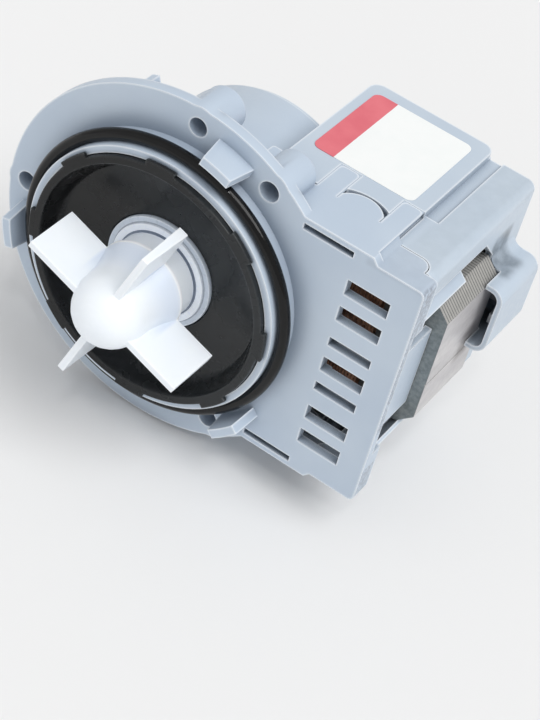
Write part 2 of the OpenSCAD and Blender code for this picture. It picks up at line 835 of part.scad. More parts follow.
module bobbin_opening() {
    bar(coil_left - 2 * bobbin_flange, coil_right + 2 * bobbin_flange)
        translate([core_mid - tube_y, leg_mid - tube_z]) square([2 * tube_y, 2 * tube_z]);
}

module bobbin() {
    difference() {
        union() {
            bar(coil_left - bobbin_flange, coil_right + bobbin_flange)
                coil_section(tube_y + bobbin_wall, tube_z + bobbin_wall, bobbin_wall);
            for (x = [coil_left - bobbin_flange, coil_right])
                bar(x, x + bobbin_flange)
                    coil_section(wire_y + flange_out, wire_z + flange_out, wire_corner + flange_out);
        }
        bobbin_opening();
    }
}

// Ear on a bobbin flange, from y0 to behind a terminal strip
module terminal_ear(y0, z0, z1) {
    bar(coil_right, coil_right + bobbin_flange)
        translate([y0, z0]) square([strip_rear + mould_clear - y0, z1 - z0]);
}

module upper_bobbin() color("gainsboro") {
    bobbin();
    terminal_ear(core_rear + bobbin_wall, upper_blade_z - blade_w, upper_blade_z + blade_w);
}

// The lower ear passes behind the upper bobbin to its blade
module lower_bobbin() color("gainsboro") {
    mirror([0, 0, 1]) bobbin();
    terminal_ear(core_rear + bobbin_wall, -leg_mid, -leg_in);
    terminal_ear(flange_rear + mould_clear, -leg_mid, lower_blade_z + blade_w / 2);
}

// One turn of the outer layer: points in y and z with their outward directions
corner_steps = 3;
loop_points = [for (k = [0 : 3], step = [0 : corner_steps - 1])
    let (angle = 90 * k + step * 90 / (corner_steps - 1),
        side_y = (k == 0 || k == 3) ? 1 : -1,
        side_z = k < 2 ? 1 : -1,
        out = [cos(angle), sin(angle)])
    [core_mid + side_y * (wire_y - wire_corner) + wire_corner * out.x,
        leg_mid + side_z * (wire_z - wire_corner) + wire_corner * out.y, out]];
loop_size = len(loop_points);
wire_last = loop_size * loop_count;

// Centre of the wire at a step of the winding, and a point on its skin there
function wire_loop(i) = loop_points[(i + loop_size) % loop_size];
function wire_at(i) = [coil_left + wire_d + wire_step * i / loop_size, wire_loop(i)[0], wire_loop(i)[1]];
function wire_skin(i, angle) = wire_at(i)
    + wire_r * [sin(angle), cos(angle) * wire_loop(i)[2].x, cos(angle) * wire_loop(i)[2].y];
wire_gap = min([for (i = [0 : wire_last - loop_size], j = [loop_size - 1 : loop_size + 1])
    if (i + j <= wire_last) norm(wire_at(i + j) - wire_at(i))]) - wire_d;
echo("least gap of the winding wire to itself", wire_gap);

// The outer layer as one unbroken wire that starts and ends on a straight run
module wound_wire() {
    sides = 6;
    rings = wire_last + 2;
    skin = [for (i = [-1 : wire_last], k = [0 : sides - 1]) wire_skin(i, 360 * k / sides)];
    walls = [for (i = [0 : rings - 2], k = [0 : sides - 1])
        let (a = i * sides + k, b = i * sides + (k + 1) % sides)
        each [[a, b + sides, a + sides], [a, b, b + sides]]];
    first = [for (k = [1 : sides - 2]) [0, k + 1, k]];
    tail = (rings - 1) * sides;
    last = [for (k = [1 : sides - 2]) [tail, tail + k, tail + k + 1]];
    polyhedron(skin, concat(walls, first, last));
}

module winding() {
    bar(coil_left + fit_clear, coil_right - fit_clear) difference() {
        coil_section(pack_y, pack_z, pack_r);
        coil_section(tube_y + bobbin_wall + fit_clear, tube_z + bobbin_wall + fit_clear, bobbin_wall);
    }
    wound_wire();
}

module upper_winding() color("peru") winding();

module lower_winding() color("peru") mirror([0, 0, 1]) winding();

// Terminal strip from the bobbin's ear into the shroud, with its blade turned forward
module terminal(z) {
    blade_x = (cover_right + shroud_x - shroud_wall) / 2 + blade_t;
    translate([0, 0, z - blade_w / 2]) {
        box([coil_right + bobbin_flange, strip_rear - blade_t, 0],
            [blade_x + blade_t, strip_rear, blade_w]);
        box([blade_x, strip_rear - blade_len, 0], [blade_x + blade_t, strip_rear, blade_w]);
    }
}

module upper_terminal() color("silver") terminal(upper_blade_z);

module lower_terminal() color("silver") terminal(lower_blade_z);

module rating_label() color("mistyrose")
    slab(case_z, case_z + label_t)
        rounded([label_from, label_front], [label_from + label_x, label_front + label_y], label_r);

// Rotor

module shaft() color("silver")
    turned([[0, -shaft_front], [shaft_r - shaft_edge, -shaft_front], [shaft_r, shaft_edge - shaft_front],
        [shaft_r, shaft_rear - shaft_edge], [shaft_r - shaft_edge, shaft_rear], [0, shaft_rear]]);

module rotor_magnet() color([0.25, 0.25, 0.27])
    ring(magnet_in, magnet_r, core_y, core_rear);

module rotor_hub() color("white")
    turned([[shaft_r + fit_clear, hub_front], [hub_r, hub_front], [hub_r, core_y - fit_clear],
        [magnet_in - fit_clear, core_y - fit_clear], [magnet_in - fit_clear, core_rear + fit_clear],
        [hub_r, core_rear + fit_clear], [hub_r, hub_rear], [shaft_r + fit_clear, hub_rear]]);

module thrust_washer(y0) ring(shaft_r + fit_clear, bush_r + washer_over, y0, y0 + washer_t);

module front_thrust_washer() color("darkgray") thrust_washer(front_washer_y);

module rear_thrust_washer() color("darkgray") thrust_washer(rear_washer_y);

module drive_dog() color("white") {
    ring(shaft_r + fit_clear, dog_ring, -dog_front, -dog_rear);
    sector(dog_ring - dog_wall / 4, dog_lug, -dog_front, -dog_rear, 90, lug_half);
}

// Impeller

module hub_solid() {
    flare = [for (s = [0 : 0.125 : 1])
        [nose_r + (rim_r - nose_r) * pow(1 - s, 2), -rim_front - s * (nose_y - rim_front)]];
    nose = [for (a = [10 : 10 : 90]) [nose_r * cos(a), -nose_y - nose_r * sin(a)]];
    skirt = [[0, -skirt_end], [skirt_r, -skirt_end], [skirt_r, rim_slope - rim_rear], [rim_r, -rim_rear]];
    turned(concat(skirt, flare, nose));
}

// A vane that is thinner towards the front
module vane() {
    bar(nose_r / 2, impeller_d / 2)
        polygon([[-blade_front, -vane_front_t / 2], [-blade_front, vane_front_t / 2],
            [-blade_rear, vane_rear_t / 2], [-blade_rear, -vane_rear_t / 2]]);
}

module impeller() color("white") {
    difference() {
        union() {
            hub_solid();
            for (i = [0 : 3])
                rotate([0, -vane_angle - 90 * i, 0]) vane();
        }
        ring(0, cavity_r, -cavity_front, 0);
        ring(0, shaft_r + run_clear, -shaft_front - shaft_in, 0);
    }
    sector(dog_ring + move_clear, cavity_r + skirt_wall / 2, -cavity_front, -dog_rear, 270, lug_half);
}

module hub_cover() color("white")
    ring(shaft_r + shaft_gap, cavity_r - fit_clear, -hub_cover_front, hub_cover_t - hub_cover_front);

module stop_damper() color([0.15, 0.15, 0.16])
    for (side = [-1, 1])
        sector(dog_ring + move_clear, cavity_r - fit_clear, -dog_front, -dog_rear,
            270 + side * (lug_half + stop_angle / 2), stop_angle / 2);

front_housing();
rear_cover();
rotor_can();
o_ring();
bearing_cap();
shaft_seal();
front_bush();
front_bush_mount();
rear_bush();
rear_bush_mount();
core_laminations();
upper_bobbin();
lower_bobbin();
upper_winding();
lower_winding();
upper_terminal();
lower_terminal();
rating_label();
shaft();
rotor_magnet();
rotor_hub();
front_thrust_washer();
rear_thrust_washer();
drive_dog();
impeller();
hub_cover();
stop_damper();
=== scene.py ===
"""Looks of a washer drain pump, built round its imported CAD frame. Lengths are in metres."""

import math
import random

import bmesh
import bpy
from mathutils import Matrix, Vector

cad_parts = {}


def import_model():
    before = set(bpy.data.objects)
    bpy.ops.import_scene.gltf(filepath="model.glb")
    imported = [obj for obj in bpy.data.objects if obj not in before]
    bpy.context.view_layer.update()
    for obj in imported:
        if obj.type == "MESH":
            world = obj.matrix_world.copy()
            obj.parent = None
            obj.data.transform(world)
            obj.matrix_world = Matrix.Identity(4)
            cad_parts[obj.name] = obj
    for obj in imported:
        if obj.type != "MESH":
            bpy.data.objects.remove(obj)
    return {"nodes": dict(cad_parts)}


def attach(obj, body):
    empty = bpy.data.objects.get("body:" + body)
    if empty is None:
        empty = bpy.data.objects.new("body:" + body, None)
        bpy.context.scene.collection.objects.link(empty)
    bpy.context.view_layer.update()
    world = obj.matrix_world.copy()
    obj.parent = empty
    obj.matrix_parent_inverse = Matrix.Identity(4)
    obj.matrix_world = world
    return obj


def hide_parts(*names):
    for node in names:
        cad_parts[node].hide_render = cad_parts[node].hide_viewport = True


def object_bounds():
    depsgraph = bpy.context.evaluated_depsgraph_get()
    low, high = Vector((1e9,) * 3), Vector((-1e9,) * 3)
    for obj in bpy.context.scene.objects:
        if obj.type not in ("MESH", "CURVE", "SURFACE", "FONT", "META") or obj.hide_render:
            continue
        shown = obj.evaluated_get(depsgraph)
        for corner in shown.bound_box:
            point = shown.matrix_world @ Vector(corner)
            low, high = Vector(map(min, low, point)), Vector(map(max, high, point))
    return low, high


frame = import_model()
cad_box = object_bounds()
NODES = frame["nodes"]
MM = 0.001
rng = random.Random(7)

# Core sheets, in millimetres
CORE_Y, CORE_REAR, CORE_X = 16.4, 40.46, 64.0
SHEET_PITCH = 0.93
# Rim of the impeller's hub and middle of its round nose, in millimetres
RIM_R, RIM_Y, NOSE_Y = 11.7, -10.0, -20.8
# Raised ring of the bearing cap, in millimetres
RING_IN, RING_OUT = 11.1, 12.8
# Middle and half size of the closed space round the coils, where the mouldings get painted shade,
# in millimetres
CHAMBER = ((49.0, 24.0, 0.0), (16.0, 24.5, 36.0))
# Outer end of the label's red band, in millimetres
BAND_END = 23.25


# Materials

# Emission colour of a painted glow that lightens the pale plastic parts
PAINTED_GLOW = (0.72, 0.84, 1.0, 1.0)
AO_SAMPLES = 6


class Look:
    """A procedural material: a Principled shader and the texture nodes that feed it."""

    def __init__(self, name, **sockets):
        self.material = bpy.data.materials.new(name)
        self.material.use_nodes = True
        self.tree = self.material.node_tree
        self.shader = self.tree.nodes["Principled BSDF"]
        self.set(**sockets)
        coordinates = self.node("ShaderNodeTexCoord")
        self.place = coordinates.outputs["Object"]
        self.normal = coordinates.outputs["Normal"]

    def set(self, **sockets):
        for name, value in sockets.items():
            self.put(self.shader.inputs[name.replace("_", " ")], value)

    def put(self, socket, value):
        if isinstance(value, bpy.types.NodeSocket):
            self.tree.links.new(value, socket)
        else:
            socket.default_value = value

    def node(self, kind, inputs=None, **settings):
        made = self.tree.nodes.new(kind)
        for name, value in settings.items():
            setattr(made, name, value)
        for name, value in (inputs or {}).items():
            self.put(made.inputs[name], value)
        return made

    def math(self, operation, a, b=0.0, clamp=False):
        made = self.node("ShaderNodeMath", {0: a, 1: b}, operation=operation, use_clamp=clamp)
        return made.outputs[0]

    def span(self, value, low, high, out_low=0.0, out_high=1.0):
        """Maps low..high to out_low..out_high, smooth at both ends."""
        made = self.node("ShaderNodeMapRange", interpolation_type="SMOOTHSTEP")
        for socket, amount in zip(made.inputs[:5], (value, low, high, out_low, out_high)):
            self.put(socket, amount)
        return made.outputs[0]

    def axes(self, vector=None):
        made = self.node("ShaderNodeSeparateXYZ", {0: self.place if vector is None else vector})
        return made.outputs[0], made.outputs[1], made.outputs[2]

    def noise(self, scale, detail=2.0, rough=0.5, place=None, distortion=0.0):
        made = self.node(
            "ShaderNodeTexNoise",
            {
                "Vector": self.place if place is None else place,
                "Scale": scale,
                "Detail": detail,
                "Roughness": rough,
                "Distortion": distortion,
            },
        )
        return made.outputs["Fac"]

    def stretched(self, x, y, z):
        made = self.node("ShaderNodeMapping", {"Vector": self.place, "Scale": (x, y, z)})
        return made.outputs[0]

    def mix(self, factor, a, b, blend="MIX"):
        made = self.node("ShaderNodeMix", data_type="RGBA", blend_type=blend)
        for index, value in ((0, factor), (6, a), (7, b)):
            self.put(made.inputs[index], value)
        return made.outputs[2]

    def tones(self, factor, low, high):
        """A colour that drifts between two tones."""
        return self.mix(self.span(factor, 0.3, 0.7), low, high)

    def edges(self, reach, low=0.06, high=0.42):
        """Mask for a painted highlight: 1 along sharp outward edges, 0 on flat faces."""
        settings = {"inside": True, "only_local": True, "samples": AO_SAMPLES}
        inside = self.node("ShaderNodeAmbientOcclusion", {"Distance": reach}, **settings)
        return self.span(self.math("SUBTRACT", 1.0, inside.outputs["AO"]), low, high)

    def crease_shade(self, reach, low=0.25, high=0.9):
        """Mask for painted shade: 1 deep in holes and inner corners, 0 on open faces."""
        around = self.node("ShaderNodeAmbientOcclusion", {"Distance": reach}, samples=AO_SAMPLES)
        return self.span(around.outputs["AO"], low, high, 1.0, 0.0)

    def patch(self, middle, half, soft):
        """1 inside a soft-edged box given in millimetres."""
        inside = None
        for axis, centre, size in zip(self.axes(), middle, half):
            away = self.math("ABSOLUTE", self.math("SUBTRACT", axis, centre * MM))
            near = self.span(away, (size - soft) * MM, (size + soft) * MM, 1.0, 0.0)
            inside = near if inside is None else self.math("MULTIPLY", inside, near)
        return inside

    def radius(self):
        """Distance from the pump's axis."""
        x, _, z = self.axes()
        squares = self.math("ADD", self.math("POWER", x, 2.0), self.math("POWER", z, 2.0))
        return self.math("SQRT", squares)

    def bump(self, height, depth, strength=1.0):
        made = self.node(
            "ShaderNodeBump", {"Height": height, "Distance": depth, "Strength": strength}
        )
        self.put(self.shader.inputs["Normal"], made.outputs[0])


def rgb(red, green, blue):
    """A colour written as it looks on screen, 0 to 255."""
    def linear(value):
        value /= 255
        return value / 12.92 if value <= 0.04045 else ((value + 0.055) / 1.055) ** 2.4

    return (linear(red), linear(green), linear(blue), 1.0)


def moulded_plastic(name, light, dark, pits_and_shade, edge):
    """Satin blue-grey moulding with a pitted texture and painted shade in places, painted shade in
    inner corners and round the coils, and a painted highlight along its edges.
    """
    look = Look(name)
    body = look.tones(look.noise(38, 3), dark, light)
    fleck = look.span(look.noise(2600, 2), 0.62, 0.8, 0.0, 0.12)
    body = look.mix(fleck, body, rgb(226, 231, 236))
    # Pitted texture and painted shade in the listed boxes
    for middle, half, soft, colour, amount, scale in pits_and_shade:
        uneven = look.span(look.noise(scale, 3, 0.6), 0.3, 0.65, *amount)
        body = look.mix(look.math("MULTIPLY", look.patch(middle, half, soft), uneven), body, colour)
    # Painted shade in holes and inner corners
    deep = look.math("MULTIPLY", look.crease_shade(0.006), 0.64)
    body = look.mix(deep, body, rgb(108, 120, 137))
    # Painted shade in the closed space round the coils
    inside = look.patch(*CHAMBER, 1.0)
    chamber_shade = look.math("MULTIPLY", look.crease_shade(0.03, 0.03, 0.3), inside)
    body = look.mix(look.math("MULTIPLY", chamber_shade, 0.85), body, rgb(46, 50, 56))
    # Painted highlight along outward edges
    if edge:
        body = look.mix(look.math("MULTIPLY", look.edges(0.0006), edge), body, rgb(240, 245, 250))
    look.set(Base_Color=body)
    look.set(Roughness=look.span(look.noise(700, 2), 0.3, 0.7, 0.31, 0.43))
    look.bump(look.noise(1900, 3), 0.00002)
    return look.material


# Darkened boxes in millimetres, pitted texture and painted shade: middle, half size, softness,
# colour, least and most, noise scale
HOUSING_PITS_AND_SHADE = (
    # Painted shade on the lower panel's top beside the raised deck
    ((56.0, 6.0, 33.0), (9.0, 6.5, 0.8), 0.6, rgb(150, 160, 174), (0.18, 0.3), 240),
    # Pitted texture on the plate's side wall
    ((62.0, 2.9, 12.0), (0.7, 2.6, 23.0), 0.4, rgb(112, 115, 127), (0.0, 0.6), 1300),
    ((62.0, 2.9, -29.0), (0.7, 2.6, 6.0), 0.4, rgb(112, 115, 127), (0.0, 0.5), 1300),
    # Painted shade on the right arm's side wall
    ((48.2, 17.0, 33.5), (0.3, 5.4, 0.75), 0.25, rgb(104, 114, 130), (0.6, 0.8), 200),
)
COVER_SHADE = (
    # Painted shade on the cover's lower panel beside the raised deck
    ((57.0, 32.0, 33.0), (6.0, 24.0, 1.0), 0.8, rgb(150, 164, 174), (0.1, 0.2), 240),
    # Painted shade in the corner where the cover's side meets the shroud
    ((62.0, 43.6, 20.0), (4.6, 4.4, 4.6), 1.4, rgb(104, 114, 124), (0.45, 0.8), 240),
)


def housing_look(name, edge):
    return moulded_plastic(name, rgb(197, 210, 224), rgb(189, 203, 219), HOUSING_PITS_AND_SHADE, edge)


def cover_look(name, edge):
    return moulded_plastic(name, rgb(199, 211, 223), rgb(192, 205, 219), COVER_SHADE, edge)


def can_look():
    """Dark glossy moulding, lighter towards +x as a painted reflection, with a painted highlight on
    its edges.
    """
    look = Look("can_black", Specular_IOR_Level=0.3)
    x, _, _ = look.axes()
    # Lighter towards +x: a painted reflection
    across = look.math("ADD", x, look.math("MULTIPLY", look.noise(60, 2), 0.02))
    body = look.mix(look.span(across, -0.01, 0.045), rgb(19, 20, 21), rgb(37, 40, 42))
    # Painted highlight along outward edges
    edge = look.math("MULTIPLY", look.edges(0.0005), 0.4)
    look.set(Base_Color=look.mix(edge, body, rgb(92, 96, 98)))
    look.set(Roughness=look.span(look.noise(160, 3, 0.6), 0.35, 0.7, 0.17, 0.34))
    look.bump(look.noise(400, 2), 0.00001)
    return look.material


def rubber_look(name, low, high, rough, shine=0.5):
    look = Look(name, Specular_IOR_Level=shine)
    look.set(Base_Color=look.tones(look.noise(300, 3), low, high))
    look.set(Roughness=look.span(look.noise(500, 3), 0.3, 0.7, rough - 0.06, rough + 0.08))
    look.bump(look.noise(1600, 3), 0.00002)
    return look.material


def white_look(name, low, high, rough, glow):
    """Smooth plastic with a painted glow, painted bluer shade on the hub's flare, and a painted
    highlight along its rim and edges.
    """
    look = Look(name, Emission_Color=PAINTED_GLOW, Emission_Strength=glow)
    body = look.tones(look.noise(90, 3), low, high)
    _, y, _ = look.axes()
    behind = look.span(y, NOSE_Y * MM, (NOSE_Y + 8.0) * MM)
    before_skirt = look.span(y, (RIM_Y + 0.2) * MM, (RIM_Y + 0.5) * MM, 1.0, 0.0)
    hub = look.span(look.radius(), (RIM_R - 0.6) * MM, (RIM_R + 0.6) * MM, 1.0, 0.0)
    # Painted bluer shade on the hub's flare
    flare = look.math("MULTIPLY", look.math("MULTIPLY", behind, before_skirt), hub)
    body = look.mix(flare, body, rgb(218, 227, 240))
    # Painted highlight along the rim
    from_rim = look.math("ABSOLUTE", look.math("SUBTRACT", y, RIM_Y * MM))
    rim_highlight = look.span(from_rim, 0.35 * MM, 0.75 * MM, 1.0, 0.0)
    outside = look.span(look.radius(), (RIM_R + 0.1) * MM, (RIM_R + 0.4) * MM, 1.0, 0.0)
    body = look.mix(look.math("MULTIPLY", rim_highlight, outside), body, rgb(250, 252, 254))
    # Painted highlight along outward edges
    edge = look.math("MULTIPLY", look.edges(0.0007), 0.6)
    look.set(Base_Color=look.mix(edge, body, rgb(250, 252, 254)))
    look.set(Roughness=look.span(look.noise(800, 2), 0.3, 0.7, rough - 0.05, rough + 0.08))
    look.bump(look.noise(2200, 2), 0.00001)
    return look.material


def cap_look():
    """Pale cap with a painted glow: a bright raised ring, a duller rim round it, painted shade in
    the groove and on the floor inside the ring, and a painted highlight on its edges.
    """
    look = Look("cap_blue_white", Emission_Color=PAINTED_GLOW)
    radius = look.radius()
    pale = look.tones(look.noise(90, 3), rgb(238, 243, 251), rgb(244, 248, 254))
    rim = look.tones(look.noise(120, 3), rgb(186, 195, 207), rgb(198, 206, 217))
    body = look.mix(look.span(radius, (RING_OUT - 0.05) * MM, (RING_OUT + 0.1) * MM), pale, rim)
    # Painted shade in the groove round the raised ring
    groove = look.math("ABSOLUTE", look.math("SUBTRACT", radius, (RING_OUT + 0.15) * MM))
    body = look.mix(look.span(groove, 0.05 * MM, 0.25 * MM, 0.7, 0.0), body, rgb(98, 106, 118))
    # Painted shade on the floor inside the ring
    ring_edge = ((RING_IN - 0.1) * MM, (RING_IN + 0.1) * MM)
    body = look.mix(look.span(radius, *ring_edge, 1.0, 0.0), body, rgb(168, 178, 194))
    # Painted highlight along outward edges
    edge = look.math("MULTIPLY", look.edges(0.0004), 0.7)
    look.set(Base_Color=look.mix(edge, body, rgb(250, 252, 254)))
    # Painted glow on the ring and rim, none on the floor inside
    look.set(Emission_Strength=look.span(radius, *ring_edge, 0.0, 0.09))
    look.set(Roughness=look.span(look.noise(800, 2), 0.3, 0.7, 0.25, 0.38))
    look.bump(look.noise(2200, 2), 0.00001)
    return look.material


def steel_look():
    """Stacked sheets: a mottled front painted darker as shade, a paler ground side and stripes
    along the stack.
    """
    look = Look("core_steel", Metallic=0.25)
    _, y, _ = look.axes()
    _, facing, _ = look.axes(look.normal)
    mottle = look.noise(900, 4, 0.65)
    drawn = look.noise(260, 3, 0.6, look.stretched(1.0, 0.2, 2.5))
    # Front tone painted darker as shade, over its own mottle
    front = look.tones(mottle, rgb(120, 128, 130), rgb(150, 157, 158))
    side = look.tones(drawn, rgb(170, 169, 166), rgb(184, 182, 178))
    front_shade = look.span(look.math("ABSOLUTE", facing), 0.5, 0.9)
    phase = look.math(
        "FRACT", look.math("DIVIDE", look.math("SUBTRACT", y, CORE_Y * MM), SHEET_PITCH * MM)
    )
    middle = look.math("ABSOLUTE", look.math("SUBTRACT", phase, 0.43))
    groove = look.span(middle, 0.2, 0.44, 0.0, 0.55)
    striped = look.mix(groove, side, rgb(112, 110, 107))
    look.set(Base_Color=look.mix(front_shade, striped, front))
    look.set(Roughness=look.span(mottle, 0.3, 0.7, 0.42, 0.6))
    look.bump(look.noise(2400, 3), 0.00002)
    return look.material


def ground_look():
    """Ground and varnished side of the core, streaked along the stack, with a painted shadow of the
    shroud on it.
    """
    look = Look("core_ground_side", Metallic=0.15)
    streak = look.noise(180, 4, 0.6, look.stretched(1.0, 0.35, 1.6))
    body = look.tones(streak, rgb(190, 188, 190), rgb(206, 204, 205))
    # Painted shadow of the shroud on the core's side
    shroud_shadow = look.patch((64.0, 33.5, -2.0), (2.0, 3.2, 5.0), 2.2)
    shroud_shadowed = look.math("MULTIPLY", shroud_shadow, look.span(look.noise(150, 3), 0.3, 0.7, 0.2, 0.75))
    look.set(Base_Color=look.mix(shroud_shadowed, body, rgb(112, 106, 106)))
    look.set(Roughness=look.span(look.noise(700, 3), 0.3, 0.7, 0.34, 0.5))
    look.bump(look.noise(1500, 3), 0.00001)
    return look.material


def copper_look():
    look = Look("winding_copper", Metallic=0.35)
    tone = look.noise(420, 3)
    look.set(Base_Color=look.tones(tone, rgb(128, 88, 68), rgb(196, 146, 116)))
    look.set(Roughness=look.span(look.noise(900, 2), 0.3, 0.7, 0.26, 0.42))
    look.bump(look.noise(2600, 2), 0.00001)
    return look.material


def metal_look(name, low, high, rough, metallic=0.9):
    look = Look(name, Metallic=metallic)
    brushed = look.noise(700, 3, 0.6, look.stretched(1.0, 0.15, 1.0))
    look.set(Base_Color=look.tones(brushed, low, high))
    look.set(Roughness=look.span(brushed, 0.3, 0.7, rough - 0.05, rough + 0.1))
    look.bump(brushed, 0.00001)
    return look.material


def dark_solid_look(name, low, high, rough):
    look = Look(name)
    look.set(Base_Color=look.tones(look.noise(700, 4, 0.65), low, high))
    look.set(Roughness=look.span(look.noise(900, 3), 0.3, 0.7, rough - 0.06, rough + 0.08))
    look.bump(look.noise(1800, 3), 0.00003)
    return look.material


def label_look():
    """Blank film: a red band along its inner edge and white beyond it."""
    look = Look("label_film")
    x, _, _ = look.axes()
    waver = look.math("MULTIPLY", look.math("SUBTRACT", look.noise(900, 2), 0.5), 0.00012)
    band = look.span(look.math("ADD", x, waver), BAND_END * MM, (BAND_END + 0.15) * MM)
    red = look.tones(look.noise(140, 3), rgb(224, 108, 120), rgb(232, 120, 130))
    white = look.tones(look.noise(160, 3), rgb(246, 249, 248), rgb(249, 251, 250))
    look.set(Base_Color=look.mix(band, red, white))
    look.set(Roughness=look.span(look.noise(600, 2), 0.3, 0.7, 0.3, 0.4))
    look.bump(look.noise(700, 2), 0.00001)
    return look.material


LOOKS = {
    # Second argument: strength of the painted edge highlight
    "housing": housing_look("housing_blue_grey", 0.75),
    "cover": cover_look("cover_blue_grey", 0.75),
    "housing_fillet": housing_look("housing_fillet", 0.0),
    "cover_fillet": cover_look("cover_fillet", 0.0),
    "can": can_look(),
    "seal": rubber_look("seal_rubber", rgb(7, 7, 8), rgb(12, 12, 13), 0.1, 0.3),
    "mount": rubber_look("mount_rubber", rgb(52, 52, 54), rgb(64, 64, 66), 0.55),
    "cap": cap_look(),
    "white": white_look("impeller_white", rgb(239, 244, 249), rgb(243, 247, 250), 0.36, 0.08),
    "bush": dark_solid_look("bush_carbon", rgb(58, 58, 60), rgb(76, 76, 78), 0.5),
    "steel": steel_look(),
    "ground": ground_look(),
    "bobbin": dark_solid_look("bobbin_nylon", rgb(66, 64, 62), rgb(80, 78, 75), 0.45),
    "copper": copper_look(),
    "terminal": metal_look("terminal_tinned", rgb(196, 199, 203), rgb(220, 222, 225), 0.3, 0.35),
    "shaft": metal_look("shaft_ground_steel", rgb(190, 192, 196), rgb(214, 215, 218), 0.2),
    "magnet": dark_solid_look("magnet_ferrite", rgb(62, 62, 66), rgb(78, 78, 82), 0.5),
    "label": label_look(),
}

NODE_LOOKS = {
    "housing": ["front_housing"],
    "cover": ["rear_cover"],
    "can": ["rotor_can"],
    "seal": ["o_ring", "shaft_seal"],
    "mount": ["front_bush_mount", "rear_bush_mount", "stop_damper"],
    "cap": ["bearing_cap"],
    "bush": ["front_bush", "rear_bush"],
    "steel": ["core_laminations"],
    "bobbin": ["upper_bobbin", "lower_bobbin"],
    "copper": ["upper_winding", "lower_winding"],
    "terminal": ["upper_terminal", "lower_terminal", "front_thrust_washer", "rear_thrust_washer"],
    "label": ["rating_label"],
    "shaft": ["shaft"],
    "magnet": ["rotor_magnet"],
    "white": ["rotor_hub", "drive_dog", "impeller", "hub_cover"],
}
for look, names in NODE_LOOKS.items():
    for name in names:
        NODES[name].data.materials.clear()
        NODES[name].data.materials.append(LOOKS[look])


# Softened edges on the moulded pieces


# Angles in degrees below which faces count as one, and above which an edge is rounded
FLAT_ANGLE, SHARP_ANGLE = 0.4, 35


def soften(name, width):
    """Rounds a CAD piece's sharp edges by modifiers alone."""
    piece = NODES[name]
    weld = piece.modifiers.new("join", "WELD")
    weld.merge_threshold = 0.000002
    flat = piece.modifiers.new("flatten", "DECIMATE")
    flat.decimate_type = "DISSOLVE"
    flat.angle_limit = math.radians(FLAT_ANGLE)
    edge = piece.modifiers.new("edges", "BEVEL")
    edge.width = width
    edge.segments = 2
    edge.limit_method = "ANGLE"
    edge.angle_limit = math.radians(SHARP_ANGLE)
    edge.use_clamp_overlap = True
    edge.harden_normals = False


# Widths of the rounded edges, in millimetres
EDGE_WIDTHS = {
    "front_housing": 0.3,
    "rear_cover": 0.3,
    "rotor_can": 0.25,
    "impeller": 0.25,
    "bearing_cap": 0.15,
}
for name, width in EDGE_WIDTHS.items():
    soften(name, width * MM)


# Added pieces


def placed(name, mesh, look, smooth=True):
    """An object of the scene made from a bmesh."""
    bmesh.ops.recalc_face_normals(mesh, faces=mesh.faces)
    data = bpy.data.meshes.new(name)
    mesh.to_mesh(data)
    mesh.free()
    data.materials.append(look)
    if smooth:
        data.shade_smooth()
    piece = bpy.data.objects.new(name, data)
    bpy.context.scene.collection.objects.link(piece)
    return piece


def strip(name, outline, y0, y1, look, steps=8):
    """A closed outline in x and z carried along y, with smooth sides."""
    mesh = bmesh.new()
    rows = []
    for step in range(steps + 1):
        y = y0 + (y1 - y0) * step / steps
        rows.append([mesh.verts.new(Vector((x, y, z)) * MM) for x, z in outline])
    count = len(outline)
    for a, b in zip(rows, rows[1:]):
        for k in range(count):
            mesh.faces.new((a[k], a[(k + 1) % count], b[(k + 1) % count], b[k]))
    mesh.faces.new(rows[0])
    mesh.faces.new(rows[-1])
    piece = placed(name, mesh, look)
    piece.data.set_sharp_from_angle(angle=math.radians(40))
    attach(piece, "housing")
    return piece


def cove(corner, radius, steps=10):
    """Outline of a concave fillet in the corner between a wall in z and a floor in x."""
    x, z = corner
    sunk = 0.05
    arc = []
    for step in range(steps + 1):
        angle = math.radians(180 + 90 * step / steps)
        arc.append((x + radius + radius * math.cos(angle), z + radius + radius * math.sin(angle)))
    return arc + [(x + radius, z - sunk), (x - sunk, z - sunk), (x - sunk, z + radius)]


# Wound coils, in millimetres: ends in x, middle, half sizes of the pack and its tube, wire radius

COIL_LEFT, COIL_RIGHT = 20.0, 50.6
COIL_Y, COIL_Z = 28.43, 13.35
PACK_Y, PACK_Z, PACK_R = 17.18, 10.65, 5.85
TUBE_Y, TUBE_Z = 13.16, 6.63
WIRE = 0.42
TURNS, WIRE_SIDES = 34, 8


def rounded_loop(half_y, half_z, radius, steps):
    """Points and outward directions round a rounded rectangle in y and z."""
    points = []
    for k in range(4):
        side_y = 1 if k in (0, 3) else -1
        side_z = 1 if k < 2 else -1
        for step in range(steps + 1):
            angle = math.radians(90 * (k + step / steps))
            out = (math.cos(angle), math.sin(angle))
            points.append(
                (
                    side_y * (half_y - radius) + radius * out[0],
                    side_z * (half_z - radius) + radius * out[1],
                    out,
                )
            )
    return points


